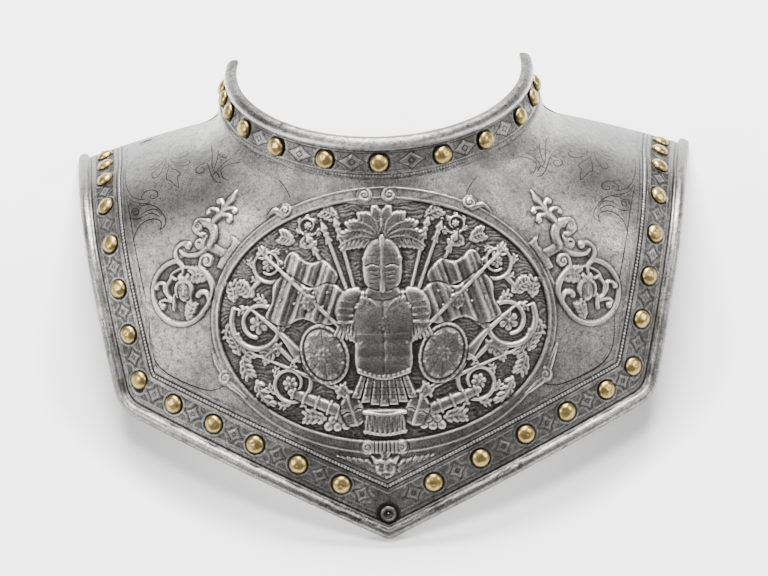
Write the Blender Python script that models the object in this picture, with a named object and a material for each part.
"""Front plate of a steel gorget: the half collar and the breast of a neck defence, raised
from one sheet, with turned edges, an oval embossed field and brass rivets along its borders.

The sheet is laid out in a pattern frame, in millimetres: x to the wearer's left, up, and out
of the breast. Points on it are named by two lengths along the sheet, across and climb, which
start at the keel and at the bottom point. The finished plate is then laid on its back, as it
rests by itself: on the bottom point and on the two shoulder ends.
"""

import math

import bmesh
import bpy
import numpy as np
from mathutils import Matrix, Vector
from mathutils.bvhtree import BVHTree

MM = 0.001

# The sheet
THICKNESS = 1.4
WRAP_RADIUS = 225.0  # round the chest, from side to side
CHEST_RADIUS = 700.0  # bottom point to upper chest
TURN_RADIUS = 54.0  # upper chest over the shoulder
TURN_ANGLE = math.radians(68.0)
SHOULDER_RADIUS = 235.0  # over the shoulder, back to the rear cut
TURN_CLIMB = 148.0  # where the chest starts to turn over, at the keel
TURN_FALL = 0.28  # how much lower it turns over for each millimetre out from the keel
TURN_SOFTENING = 30.0

# The outline, seen square to the breast
CORNER_X = 122.0
CORNER_CLIMB = 61.0
CORNER_ROUNDING = 17.0
SHOULDER_X = 150.0
SIDE_BOW = 2.0
REAR_DEPTH = 137.0  # the shoulder ends lie this far behind the breast
POINT_ROUNDING = 3.0

# The collar
COLLAR_FRONT_UP = 160.5
COLLAR_TILT = math.radians(31.5)
COLLAR_HEIGHT = 19.4
COLLAR_FOOT_RADIUS = 75.0
COLLAR_MIDDLE_RADIUS = 72.0
COLLAR_TOP_RADIUS = 67.5
COLLAR_END = math.radians(97.0)
COLLAR_CORNER_ANGLE = math.radians(50.0)  # the part of the collar that faces the lower corner
FLARE_REACH = 9.0  # the round sweep from the collar into the chest
FLARE_RISE = 3.6

# Turned edges: half-round beads on the outer face
EDGE_BEAD_WIDTH = 5.6
EDGE_BEAD_HEIGHT = 2.6
RIM_BEAD_WIDTH = 5.0
RIM_BEAD_HEIGHT = 2.4
BEAD_INSIDE = 1.2  # the beads also swell a little on the inner face

# The border round the plate, measured inwards from its edge
BAND_OUTER = 8.4
BAND_INNER = 20.6
BAND_DEPTH = 0.35
ROPE_WIDTH = 2.0
ROPE_HEIGHT = 0.6
ROPE_DISTANCE = 22.8

# Brass rivets
HEAD_RADIUS = 4.2
HEAD_HEIGHT = 2.7
SHANK_RADIUS = 1.5
TAIL_RADIUS = 2.3
TAIL_HEIGHT = 0.7
SEAT_GAP = 0.3
BORDER_RIVETS_PER_SIDE = 13
BORDER_RIVET_DISTANCE = 14.4
KEEL_TO_RIVET = 23.0
SHOULDER_END_TO_RIVET = 16.0
# How far each rivet strays from even steps, from the keel up, where the row was punched unevenly
RIGHT_RIVET_STRAYS = (0, 2.3, 3.9, 4.0, 4.2, 0.9, 1.3, 0, -1.5, -2.0, 0, 1.5, 0)
COLLAR_RIVET_DROP = 10.0
COLLAR_RIVET_ANGLES = (-90, -81.5, -71.5, -57.5, -39.5, -19.5, 0, 23, 41, 62, 76.5, 87.5)  # from the front
RIVET_SIDES = 10
RIVET_HOLE_SIDES = 8

# Holes
POINT_HOLE_UP = 12.0
POINT_HOLE_RADIUS = 2.2
POINT_HOLE_SIDES = 16
SLOT_X = -113.0
SLOT_FROM_REAR = 9.0
SLOT_LENGTH = 7.0
SLOT_WIDTH = 3.6

# How finely the sheet is faceted
LOWER_STEPS = 11
CORNER_STEPS = 5
SIDE_STEPS = 15
FIELD_STEPS = 6
STEP_LENGTH = 30.0
STEP_TURN = math.radians(8.0)
CUTTER_REACH = 8.0


TURN_LENGTH = TURN_RADIUS * TURN_ANGLE
TURN_RISE = TURN_RADIUS * math.sin(TURN_ANGLE)
TURN_DROP = TURN_RADIUS * (1 - math.cos(TURN_ANGLE))


def turn_start(x):
    """Climb at which the sheet starts to turn over the shoulder."""
    return TURN_CLIMB - TURN_FALL * (np.hypot(x, TURN_SOFTENING) - TURN_SOFTENING)


def across_of(x):
    return WRAP_RADIUS * np.arcsin(np.asarray(x, float) / WRAP_RADIUS)


def wrap_dip(x):
    """How far the sheet lies back at a distance from the keel."""
    return WRAP_RADIUS - np.sqrt(WRAP_RADIUS**2 - x**2)


def profile(past):
    """Rise and drop along the profile, past the point where it starts to turn over."""
    on_chest, on_turn = past / CHEST_RADIUS, past / TURN_RADIUS
    on_shoulder = TURN_ANGLE + (past - TURN_LENGTH) / SHOULDER_RADIUS
    parts = [past <= 0, past <= TURN_LENGTH]
    rise = np.select(
        parts,
        [CHEST_RADIUS * np.sin(on_chest), TURN_RADIUS * np.sin(on_turn)],
        TURN_RISE + SHOULDER_RADIUS * (np.sin(on_shoulder) - math.sin(TURN_ANGLE)),
    )
    drop = np.select(
        parts,
        [CHEST_RADIUS * (1 - np.cos(on_chest)), TURN_RADIUS * (1 - np.cos(on_turn))],
        TURN_DROP + SHOULDER_RADIUS * (math.cos(TURN_ANGLE) - np.cos(on_shoulder)),
    )
    return rise, drop


def past_of_rise(rise):
    """Length along the profile at a rise above the start of the turn."""
    on_chest = CHEST_RADIUS * np.arcsin(np.clip(rise / CHEST_RADIUS, -1, 1))
    on_turn = TURN_RADIUS * np.arcsin(np.clip(rise / TURN_RADIUS, -1, 1))
    sine = math.sin(TURN_ANGLE) + (rise - TURN_RISE) / SHOULDER_RADIUS
    on_shoulder = TURN_LENGTH + SHOULDER_RADIUS * (np.arcsin(np.clip(sine, -1, 1)) - TURN_ANGLE)
    return np.select([rise <= 0, rise <= TURN_RISE], [on_chest, on_turn], on_shoulder)


def past_of_drop(drop):
    """Length along the profile at a drop behind the start of the turn."""
    on_turn = TURN_RADIUS * np.arccos(np.clip(1 - drop / TURN_RADIUS, -1, 1))
    cosine = math.cos(TURN_ANGLE) - (drop - TURN_DROP) / SHOULDER_RADIUS
    on_shoulder = TURN_LENGTH + SHOULDER_RADIUS * (np.arccos(np.clip(cosine, -1, 1)) - TURN_ANGLE)
    return np.where(drop <= TURN_DROP, on_turn, on_shoulder)


def sheet_point(across, climb):
    """The outer face of the sheet: x, up and out of a point named by its two lengths."""
    turn = np.asarray(across, float) / WRAP_RADIUS
    x = WRAP_RADIUS * np.sin(turn)
    start = turn_start(x)
    rise, drop = profile(climb - start)
    return np.stack([x, start + rise, -wrap_dip(x) - drop], -1)


def sheet_normal(across, climb, step=0.05):
    """Unit normal of the outer face."""
    sideways = sheet_point(across + step, climb) - sheet_point(across - step, climb)
    upwards = sheet_point(across, climb + step) - sheet_point(across, climb - step)
    normal = np.cross(sideways, upwards)
    return normal / np.linalg.norm(normal, axis=-1, keepdims=True)


def climb_of_up(x, up):
    """Climb of the point of the sheet at a height."""
    start = turn_start(x)
    return start + past_of_rise(up - start)


def climb_of_depth(x, depth):
    """Climb at which the sheet has sunk to a depth behind the breast, over the shoulder."""
    return turn_start(x) + past_of_drop(depth - wrap_dip(x))


def out_of(x, up):
    """How far out the sheet lies at a place seen square to the breast."""
    return sheet_point(across_of(x), climb_of_up(x, up))[..., 2]


def half(value, low, high, go_up):
    """One step of a bisection: the new bounds."""
    return np.where(go_up, value, low), np.where(go_up, high, value)


COLLAR_AXIS = np.array([0.0, math.cos(COLLAR_TILT), math.sin(COLLAR_TILT)])
COLLAR_FRONT = np.array([0.0, -math.sin(COLLAR_TILT), math.cos(COLLAR_TILT)])
COLLAR_FOOT = sheet_point(0.0, climb_of_up(0.0, COLLAR_FRONT_UP))
COLLAR_CENTRE = COLLAR_FOOT - COLLAR_FOOT_RADIUS * COLLAR_FRONT


def collar_radius(height):
    """Outer radius of the collar's wall, through its foot, middle and top."""
    share = np.asarray(height, float) / COLLAR_HEIGHT
    foot, middle, top = COLLAR_FOOT_RADIUS, COLLAR_MIDDLE_RADIUS, COLLAR_TOP_RADIUS
    return foot + share * (4 * middle - 3 * foot - top) + share**2 * 2 * (foot + top - 2 * middle)


def collar_outwards(angle):
    angle = np.asarray(angle, float)
    sideways = np.sin(angle)[..., None] * np.array([1.0, 0.0, 0.0])
    return sideways + np.cos(angle)[..., None] * COLLAR_FRONT


def collar_point(angle, height, proud=0.0):
    reach = collar_radius(height) + proud
    level = COLLAR_CENTRE + np.asarray(height, float)[..., None] * COLLAR_AXIS
    return level + reach[..., None] * collar_outwards(angle)


def collar_foot_height(angle):
    """Height on the collar's wall at which it meets the sheet."""
    low = np.full(np.shape(angle), -15.0)
    high = np.full(np.shape(angle), 15.0)
    for _ in range(40):
        middle = (low + high) / 2
        point = collar_point(angle, middle)
        below = point[..., 2] < out_of(point[..., 0], point[..., 1])
        low, high = half(middle, low, high, below)
    return (low + high) / 2


def sheet_lengths(point):
    """Across and climb of a point of the sheet."""
    return across_of(point[..., 0]), climb_of_up(point[..., 0], point[..., 1])


def rear_climb(x):
    """Climb of the rear cut, which runs straight from the collar's end to the shoulder's."""
    inner = collar_point(COLLAR_END, collar_foot_height(COLLAR_END))
    share = (x - inner[0]) / (SHOULDER_X - inner[0])
    depth = -inner[2] + share * (REAR_DEPTH + inner[2])
    return climb_of_depth(x, depth)


def side_x(climb):
    """The side edge, which leans out towards the shoulder and bows a little."""
    share = (climb - CORNER_CLIMB) / (rear_climb(SHOULDER_X) - CORNER_CLIMB)
    return CORNER_X + share * (SHOULDER_X - CORNER_X) + SIDE_BOW * 4 * share * (1 - share)


def rounded_corner(before, corner, after, radius, steps):
    """Points on an arc that rounds a corner off, from one edge to the other."""
    back = (before - corner) / np.linalg.norm(before - corner)
    on = (after - corner) / np.linalg.norm(after - corner)
    opening = math.acos(np.dot(back, on))
    centre = corner + (back + on) / np.linalg.norm(back + on) * radius / math.sin(opening / 2)
    start = corner + back * radius / math.tan(opening / 2) - centre
    end = corner + on * radius / math.tan(opening / 2) - centre
    sweep = math.pi - opening
    shares = np.linspace(0, 1, steps)[:, None]
    return centre + (np.sin((1 - shares) * sweep) * start + np.sin(shares * sweep) * end) / math.sin(sweep)


def side_climbs(first, last, steps):
    """Climbs of the points up the side edge, closer together where the sheet turns over."""
    climbs = np.linspace(first, last, 400)
    past = climbs - turn_start(CORNER_X)
    turned = np.clip(past, 0, TURN_LENGTH) / TURN_RADIUS
    turned += np.clip(past - TURN_LENGTH, 0, None) / SHOULDER_RADIUS
    measure = climbs / STEP_LENGTH + turned / STEP_TURN
    return np.interp(np.linspace(measure[0], measure[-1], steps + 1)[1:], measure, climbs)


def right_outline(lower_steps, corner_steps, side_steps):
    """x and climb along the right half of the outline, from the bottom point to the shoulder end,
    and the places of the points that belong to the corner."""
    point, corner = np.zeros(2), np.array([CORNER_X, CORNER_CLIMB])
    above = np.array([side_x(CORNER_CLIMB + CORNER_ROUNDING), CORNER_CLIMB + CORNER_ROUNDING])
    bend = rounded_corner(point, corner, above, CORNER_ROUNDING, corner_steps)
    mirrored = np.array([-CORNER_X, CORNER_CLIMB])
    nose = rounded_corner(mirrored, point, corner, POINT_ROUNDING, 3)[1:]
    lower = nose[-1] + np.linspace(0, 1, lower_steps)[1:-1, None] * (bend[0] - nose[-1])
    climbs = side_climbs(bend[-1][1], rear_climb(SHOULDER_X), side_steps)
    shift = bend[-1][0] - side_x(bend[-1][1])
    fade = np.linspace(1, 0, len(climbs) + 1)[1:]
    side = np.stack([side_x(climbs) + shift * fade, climbs], -1)
    return np.concatenate([nose, lower, bend, side]), len(nose) + len(lower)


def polyline_distance(points, line):
    """Distance of each point from a line of straight runs."""
    starts, runs = line[:-1], line[1:] - line[:-1]
    rel = points[..., None, :] - starts
    share = np.clip((rel * runs).sum(-1) / (runs * runs).sum(-1), 0, 1)
    return np.linalg.norm(rel - share[..., None] * runs, axis=-1).min(-1)


class Layout:
    """Lines that run over the sheet from the collar's foot to the edge, one for each outline point."""

    def __init__(self, lower_steps, corner_steps, side_steps):
        outline, corner_at = right_outline(lower_steps, corner_steps, side_steps)
        count = len(outline) - 1
        corner = corner_at + corner_steps // 2
        order = np.arange(count + 1)
        angles = np.interp(order, [0, corner, count], [0, COLLAR_CORNER_ANGLE, COLLAR_END])
        x, climb = outline[:, 0], outline[:, 1]
        self.angles = np.concatenate([-angles[:0:-1], angles])
        self.edge_x = np.concatenate([-x[:0:-1], x])
        self.edge_climb = np.concatenate([climb[:0:-1], climb])
        self.foot_height = collar_foot_height(self.angles)
        foot = collar_point(self.angles, self.foot_height)
        self.foot_across, self.foot_climb = sheet_lengths(foot)
        self.edge = sheet_point(across_of(self.edge_x), self.edge_climb)
        self.foot = sheet_point(self.foot_across, self.foot_climb)

    def lengths(self, share):
        """Across and climb at a share of the way from the collar's foot to the edge, on each line."""
        edge_across = across_of(self.edge_x)
        across = self.foot_across + share * (edge_across - self.foot_across)
        climb = self.foot_climb + share * (self.edge_climb - self.foot_climb)
        x = WRAP_RADIUS * np.sin(across / WRAP_RADIUS)
        past_corner = np.abs(self.angles) - COLLAR_CORNER_ANGLE
        rearness = np.clip(past_corner / (COLLAR_END - COLLAR_CORNER_ANGLE), 0, 1)
        outside = np.abs(x) > np.abs(self.foot[:, 0])
        rear = rear_climb(np.where(outside, np.abs(x), np.abs(self.foot[:, 0])))
        straight = self.foot_climb[-1] + share * (self.edge_climb[-1] - self.foot_climb[-1])
        return across, climb + rearness**3 * (rear - straight) * outside

    def share_at(self, distance, line, near_edge):
        """The share of the way at which each line is a distance from a line such as the edge."""
        low, high = np.zeros(len(self.angles)), np.ones(len(self.angles))
        for _ in range(24):
            middle = (low + high) / 2
            far = polyline_distance(sheet_point(*self.lengths(middle)), line) > distance
            low, high = half(middle, low, high, far == near_edge)
        return (low + high) / 2


def bead_section(width, height, start):
    """Distance from the edge and height of a half-round bead, starting at a distance."""
    turns = np.radians([180, 140, 90, 40, 0])
    return [(start + width / 2 * (1 + math.cos(t)), height * math.sin(t)) for t in turns]


def outer_rings(layout):
    """The rings of the outer face, from the rim of the collar out to the edge of the plate."""
    angles = layout.angles
    rings = []
    for drop, proud in bead_section(RIM_BEAD_WIDTH, RIM_BEAD_HEIGHT, 0):
        height = np.full(len(angles), COLLAR_HEIGHT - drop)
        rings.append(collar_point(angles, height, np.full(len(angles), proud)))
    flare_top = layout.foot_height + FLARE_RISE
    for share in (0.5, 1.0):
        bead_foot = COLLAR_HEIGHT - RIM_BEAD_WIDTH
        rings.append(collar_point(angles, bead_foot + share * (flare_top - bead_foot)))
    flare_end = layout.share_at(FLARE_REACH, layout.foot, False)
    top = collar_point(angles, flare_top)
    down = collar_point(angles, flare_top - FLARE_RISE) - top
    end = sheet_point(*layout.lengths(flare_end))
    on = end - sheet_point(*layout.lengths(flare_end * 0.5))
    for share in (0.3, 0.6):
        rings.append(hermite(top, end, down * 1.6, on * 2.0, share))
    rings.append(end)
    inner = layout.share_at(ROPE_DISTANCE + ROPE_WIDTH, layout.edge, True)
    for step in range(1, FIELD_STEPS):
        rings.append(sheet_point(*layout.lengths(flare_end + step / FIELD_STEPS * (inner - flare_end))))
    rings += [border_ring(layout, distance, proud) for distance, proud in border_section()]
    return rings


def hermite(start, end, start_run, end_run, t):
    return (
        (2 * t**3 - 3 * t**2 + 1) * start
        + (t**3 - 2 * t**2 + t) * start_run
        + (3 * t**2 - 2 * t**3) * end
        + (t**3 - t**2) * end_run
    )


def border_section():
    """Distance from the edge and height above the sheet, from the rope line out to the edge."""
    rope = [
        (ROPE_DISTANCE + ROPE_WIDTH, 0.0),
        (ROPE_DISTANCE + ROPE_WIDTH / 2, ROPE_HEIGHT),
        (ROPE_DISTANCE, 0.0),
    ]
    band = [(distance, -BAND_DEPTH) for distance in (BAND_INNER, BORDER_RIVET_DISTANCE, BAND_OUTER)]
    bead = bead_section(EDGE_BEAD_WIDTH, EDGE_BEAD_HEIGHT, 0)[::-1]
    return rope + band + bead


def border_ring(layout, distance, proud):
    """A ring at a distance inside the edge, raised off the sheet."""
    share = layout.share_at(distance, layout.edge, True) if distance > 0 else np.ones(len(layout.angles))
    lengths = layout.lengths(share)
    return sheet_point(*lengths) + proud * offset_direction(layout, lengths)


def offset_direction(layout, lengths):
    """The sheet's normal, kept within the rear cut at the two ends so that the cut stays flat."""
    normals = sheet_normal(*lengths)
    for end, edge, foot in ((0, layout.edge[0], layout.foot[0]), (-1, layout.edge[-1], layout.foot[-1])):
        across_cut = np.array([edge[2] - foot[2], 0.0, foot[0] - edge[0]])
        across_cut /= np.linalg.norm(across_cut)
        flat = normals[end] - np.dot(normals[end], across_cut) * across_cut
        normals[end] = flat / np.linalg.norm(flat)
    return normals


def inner_rings(layout):
    """The rings of the inner face, from the edge of the plate back to the rim of the collar."""
    angles = layout.angles
    rings = []
    section = [(0.0, 0.0), (0.25, BEAD_INSIDE), (0.75, BEAD_INSIDE), (1.0, 0.0)]
    for share, swell in section:
        rings.append(border_ring(layout, share * EDGE_BEAD_WIDTH, -THICKNESS - swell))
    for distance in (BAND_OUTER, BORDER_RIVET_DISTANCE, BAND_INNER):
        rings.append(border_ring(layout, distance, -THICKNESS - BAND_DEPTH))
    flare_end = layout.share_at(FLARE_REACH, layout.foot, False)
    inner = layout.share_at(ROPE_DISTANCE + ROPE_WIDTH, layout.edge, True)
    for step in range(FIELD_STEPS, -1, -2):
        lengths = layout.lengths(flare_end + step / FIELD_STEPS * (inner - flare_end))
        rings.append(sheet_point(*lengths) - THICKNESS * offset_direction(layout, lengths))
    flare_top = layout.foot_height + FLARE_RISE
    wall = np.full(len(angles), -THICKNESS)
    top = collar_point(angles, flare_top, wall)
    down = collar_point(angles, flare_top - FLARE_RISE, wall) - top
    rings.append(hermite(top, rings[-1], down * 1.6, (rings[-2] - rings[-1]) * 0.6, 0.5))
    rings.append(top)
    bead_foot = COLLAR_HEIGHT - RIM_BEAD_WIDTH
    rings.append(collar_point(angles, (flare_top + bead_foot) / 2, wall))
    for share, swell in section[::-1]:
        height = np.full(len(angles), COLLAR_HEIGHT - share * RIM_BEAD_WIDTH)
        rings.append(collar_point(angles, height, wall - swell))
    return rings


def zip_strip(first, second, places):
    """Triangles between two rows of points that start and end side by side."""
    faces = []
    one, two = 0, 0
    while one < len(first) - 1 or two < len(second) - 1:
        can_one, can_two = one < len(first) - 1, two < len(second) - 1
        step_one = np.linalg.norm(places[first[one + 1]] - places[second[two]]) if can_one else math.inf
        step_two = np.linalg.norm(places[second[two + 1]] - places[first[one]]) if can_two else math.inf
        if step_one <= step_two:
            faces.append((first[one], first[one + 1], second[two]))
            one += 1
        else:
            faces.append((first[one], second[two + 1], second[two]))
            two += 1
    return faces


def plate_mesh(layout):
    """Points and faces of the whole sheet, as one closed body."""
    outer, inner = outer_rings(layout), inner_rings(layout)
    rings = np.array(outer + inner)
    count, lines = rings.shape[:2]
    places = rings.reshape(-1, 3)
    faces = []
    for ring in range(count):
        after = (ring + 1) % count
        for line in range(lines - 1):
            here, there = ring * lines + line, after * lines + line
            if line < lines // 2:
                faces += [(here, here + 1, there), (here + 1, there + 1, there)]
            else:
                faces += [(here, here + 1, there + 1), (here, there + 1, there)]
    outside = [ring * lines for ring in range(len(outer))]
    inside = [ring * lines for ring in range(count - 1, len(outer) - 1, -1)]
    left = zip_strip(outside, inside, places)
    last = lines - 1
    right = zip_strip([place + last for place in outside], [place + last for place in inside], places)
    faces += [face[::-1] for face in left]
    faces += right
    return places, faces


def make_mesh(name, places, faces):
    """A closed body in metres, with its faces turned outwards."""
    mesh = bpy.data.meshes.new(name)
    mesh.from_pydata([tuple(place * MM) for place in places], [], faces)
    body = bmesh.new()
    body.from_mesh(mesh)
    bmesh.ops.recalc_face_normals(body, faces=body.faces)
    body.to_mesh(mesh)
    body.free()
    return mesh


def add_object(name, mesh, material=None):
    thing = bpy.data.objects.new(name, mesh)
    bpy.context.scene.collection.objects.link(thing)
    if material is not None:
        mesh.materials.append(material)
    return thing


def make_material(name, colour, metallic, roughness):
    material = bpy.data.materials.new(name)
    material.use_nodes = True
    shader = material.node_tree.nodes["Principled BSDF"]
    shader.inputs["Base Color"].default_value = (*colour, 1.0)
    shader.inputs["Metallic"].default_value = metallic
    shader.inputs["Roughness"].default_value = roughness
    return material


def lathe(profile, sides):
    """Points and faces of a turned body: radius and height pairs, closed at both ends."""
    places = [(0.0, 0.0, profile[0][1])]
    for radius, height in profile[1:-1]:
        for side in range(sides):
            turn = 2 * math.pi * side / sides
            places.append((radius * math.cos(turn), radius * math.sin(turn), height))
    places.append((0.0, 0.0, profile[-1][1]))
    faces = []
    for side in range(sides):
        after = (side + 1) % sides
        faces.append((0, 1 + side, 1 + after))
        for ring in range(len(profile) - 3):
            low = 1 + ring * sides
            faces.append((low + side, low + sides + side, low + sides + after, low + after))
        low = 1 + (len(profile) - 3) * sides
        faces.append((low + side, len(places) - 1, low + after))
    return np.array(places), faces


def frame_on(place, normal, along):
    """Rows: two directions in the sheet and the way out of it."""
    out = normal / np.linalg.norm(normal)
    side = np.cross(along, out)
    side /= np.linalg.norm(side)
    return np.array([np.cross(out, side), side, out]), place


def set_on(places, frame):
    rows, place = frame
    return places @ rows + place


def border_rivet_frames(layout):
    """Where the border's rivets sit, from the keel to each shoulder end."""
    share = layout.share_at(BORDER_RIVET_DISTANCE, layout.edge, True)
    across, climb = layout.lengths(share)
    middle = len(across) // 2
    frames = {}
    sides = ((1, "right_border", np.array(RIGHT_RIVET_STRAYS)), (-1, "left_border", 0.0))
    for side, name, strays in sides:
        row_across, row_climb = across[middle::side], climb[middle::side]
        steps = np.linalg.norm(np.diff(sheet_point(row_across, row_climb), axis=0), axis=1)
        length = np.concatenate([[0], np.cumsum(steps)])
        places = np.linspace(KEEL_TO_RIVET, length[-1] - SHOULDER_END_TO_RIVET, BORDER_RIVETS_PER_SIDE) + strays
        for number, at in enumerate(places, 1):
            lengths = np.interp(at, length, row_across), np.interp(at, length, row_climb)
            frame = frame_on(sheet_point(*lengths), sheet_normal(*lengths), np.array([0, 1.0, 0.3]))
            frames[f"{name}_rivet_{number:02d}"] = frame
    return frames


def collar_rivet_frames():
    frames = {}
    height = COLLAR_HEIGHT - COLLAR_RIVET_DROP
    slope = (collar_radius(height + 1) - collar_radius(height - 1)) / 2
    for number, degrees in enumerate(COLLAR_RIVET_ANGLES, 1):
        angle = math.radians(degrees)
        outwards = collar_outwards(angle)
        normal = outwards - slope * COLLAR_AXIS
        frames[f"collar_rivet_{number:02d}"] = frame_on(collar_point(angle, height), normal, COLLAR_AXIS)
    return frames


def face_levels(tree, frame, radius):
    """Highest point of the outer face and lowest point of the inner face under a round head."""
    rows, place = frame
    out = Vector(rows[2])
    highest, lowest = -math.inf, math.inf
    spots = [(0.0, 0.0)]
    spots += [(radius * math.cos(k * math.pi / 4), radius * math.sin(k * math.pi / 4)) for k in range(8)]
    for first, second in spots:
        foot = Vector((place + first * rows[0] + second * rows[1]) * MM)
        hit = tree.ray_cast(foot + out * HEAD_RADIUS * MM, -out)
        highest = max(highest, (hit[0] - foot).dot(out) / MM)
        hit = tree.ray_cast(foot - out * 2 * HEAD_RADIUS * MM, out)
        lowest = min(lowest, (hit[0] - foot).dot(out) / MM)
    return highest, lowest


def rivet_profile(seat, under):
    """Section of a rivet whose head sits at one level and whose tail is peened over at another."""
    return [
        (0.0, seat + HEAD_HEIGHT),
        (HEAD_RADIUS * 0.62, seat + HEAD_HEIGHT * 0.78),
        (HEAD_RADIUS, seat),
        (SHANK_RADIUS, seat),
        (SHANK_RADIUS, under),
        (TAIL_RADIUS, under),
        (TAIL_RADIUS * 0.8, under - TAIL_HEIGHT),
        (0.0, under - TAIL_HEIGHT),
    ]


def cutter_profile(radius, reach):
    return [(0, reach), (radius, reach), (radius, -reach), (0, -reach)]


def cutter_mesh(frames, layout):
    """All the holes: one for each rivet, the one in the bottom point and the shoulder slot."""
    places, faces = [], []

    def add(new_places, new_faces):
        first = sum(len(part) for part in places)
        places.append(new_places)
        faces.extend(tuple(first + corner for corner in face) for face in new_faces)

    for frame in frames.values():
        radius = (SHANK_RADIUS + SEAT_GAP) / math.cos(math.pi / RIVET_HOLE_SIDES)
        points, sides = lathe(cutter_profile(radius, CUTTER_REACH / 2), RIVET_HOLE_SIDES)
        add(set_on(points, frame), sides)
    lengths = 0.0, POINT_HOLE_UP
    frame = frame_on(sheet_point(*lengths), sheet_normal(*lengths), np.array([0, 1.0, 0]))
    points, sides = lathe(cutter_profile(POINT_HOLE_RADIUS, CUTTER_REACH), POINT_HOLE_SIDES)
    add(set_on(points, frame), sides)
    lengths = across_of(SLOT_X), rear_climb(abs(SLOT_X)) - SLOT_FROM_REAR
    frame = frame_on(sheet_point(*lengths), sheet_normal(*lengths), np.array([0, 1.0, 0]))
    points, sides = lathe(cutter_profile(SLOT_WIDTH / 2, CUTTER_REACH), POINT_HOLE_SIDES)
    points[:, 1] += np.sign(np.round(points[:, 1], 6)) * (SLOT_LENGTH - SLOT_WIDTH) / 2
    add(set_on(points, frame), sides)
    return np.concatenate(places), faces


def lying_angle(places):
    """Lean of the breast at which the point and the shoulder ends touch the floor together."""
    point = places[np.abs(places[:, 0]) < POINT_ROUNDING * 2]
    ends = places[np.abs(places[:, 0]) > CORNER_X]
    low, high = 0.0, math.pi / 2
    for _ in range(50):
        lean = (low + high) / 2
        down = np.array([0.0, math.sin(lean), math.cos(lean)])
        low, high = (lean, high) if (point @ down).min() > (ends @ down).min() else (low, lean)
    return lean


def lay_down(things, places):
    """Turn the finished piece onto its back, with its middle over the origin and the floor at zero."""
    lean = lying_angle(places)
    turn = Matrix(((1, 0, 0), (0, math.cos(lean), -math.sin(lean)), (0, math.sin(lean), math.cos(lean))))
    laid = places @ np.array(turn.transposed())
    low, high = laid.min(axis=0), laid.max(axis=0)
    shift = Matrix.Translation(Vector((0.0, -(low[1] + high[1]) / 2 * MM, -low[2] * MM)))
    for thing in things:
        thing.data.transform(shift @ turn.to_4x4())


def shade(thing, smooth_all, crease=math.radians(40.0)):
    for face in thing.data.polygons:
        face.use_smooth = True
    if not smooth_all:
        thing.data.set_sharp_from_angle(angle=crease)


for old in list(bpy.data.objects):
    bpy.data.objects.remove(old, do_unlink=True)

steel = make_material("polished_steel", (0.42, 0.43, 0.44), 1.0, 0.3)
brass = make_material("brass", (0.62, 0.45, 0.2), 1.0, 0.35)

sheet = Layout(LOWER_STEPS, CORNER_STEPS, SIDE_STEPS)
plate_places, plate_faces = plate_mesh(sheet)
plate = add_object("gorget_plate", make_mesh("gorget_plate", plate_places, plate_faces), steel)
corners = [vertex.co for vertex in plate.data.vertices]
surface = BVHTree.FromPolygons(corners, [polygon.vertices[:] for polygon in plate.data.polygons])

rivet_frames = collar_rivet_frames() | border_rivet_frames(sheet)
rivets = []
for name, frame in rivet_frames.items():
    top, _ = face_levels(surface, frame, HEAD_RADIUS)
    _, bottom = face_levels(surface, frame, TAIL_RADIUS)
    points, sides = lathe(rivet_profile(top + SEAT_GAP, bottom - SEAT_GAP), RIVET_SIDES)
    rivets.append(add_object(name, make_mesh(name, set_on(points, frame), sides), brass))

holes = add_object("holes", make_mesh("holes", *cutter_mesh(rivet_frames, sheet)))
holes.hide_render = True
holes.display_type = "WIRE"
cut = plate.modifiers.new("holes", "BOOLEAN")
cut.operation = "DIFFERENCE"
cut.solver = "EXACT"
cut.object = holes

lay_down([plate, holes] + rivets, plate_places)
shade(plate, False)
for rivet in rivets:
    shade(rivet, False)
